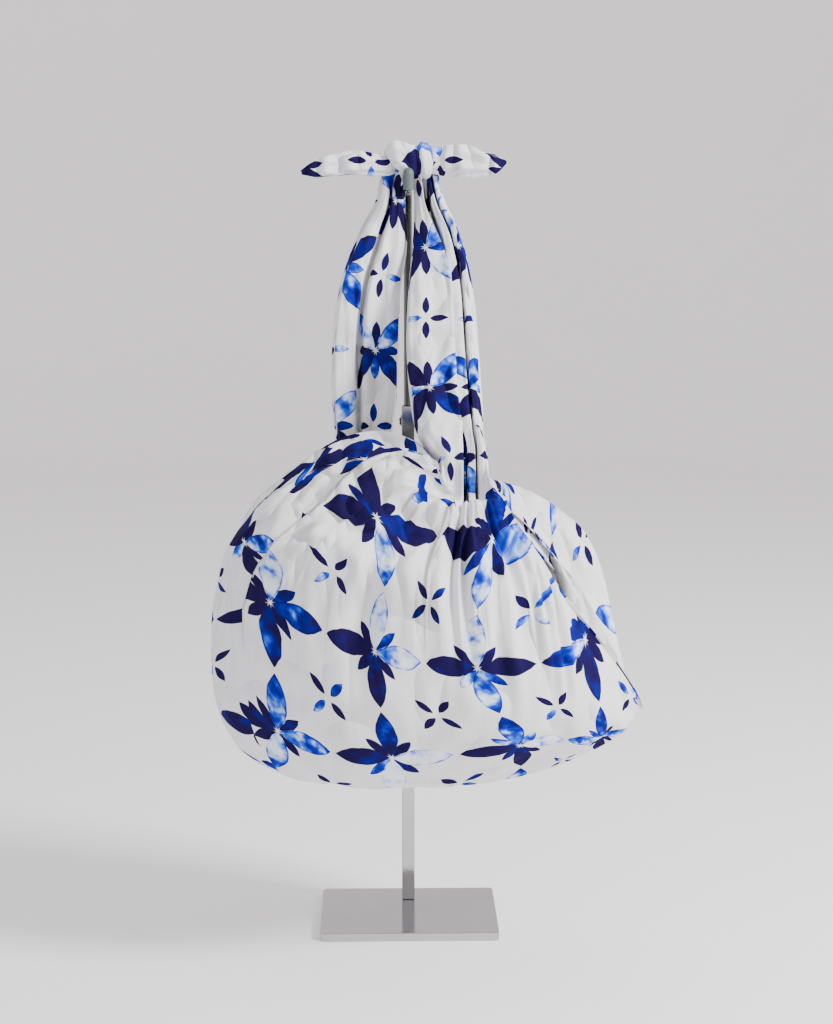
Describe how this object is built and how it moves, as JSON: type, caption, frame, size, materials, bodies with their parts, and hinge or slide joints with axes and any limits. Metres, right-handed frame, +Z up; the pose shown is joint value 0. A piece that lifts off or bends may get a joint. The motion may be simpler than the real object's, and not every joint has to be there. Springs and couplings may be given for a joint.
{
  "type": "furoshiki wrap on a bag stand",
  "caption": "Square cloth knotted into a drop-shaped carrying bag, hung by its knot from the hook of a telescoping display stand.",
  "frame": {"origin": "middle of the base plate's underside", "axes": "+Z up, -Y towards the bag's front, +X to the viewer's right, where the bag's pointed corner is"},
  "size_m": [0.3854, 0.2511, 0.7241],
  "materials": {
    "cloth": "plain-woven white cotton printed with blue flowers, beige underside",
    "chrome": "polished",
    "rubber": "matte grey-green"
  },
  "bodies": {
    "root": {"furoshiki": "cloth", "base_plate": "chrome", "post_tube": "chrome", "inner_rod": "chrome", "thumb_screw": "chrome", "hook_cap": "rubber"}
  },
  "joints": []
}
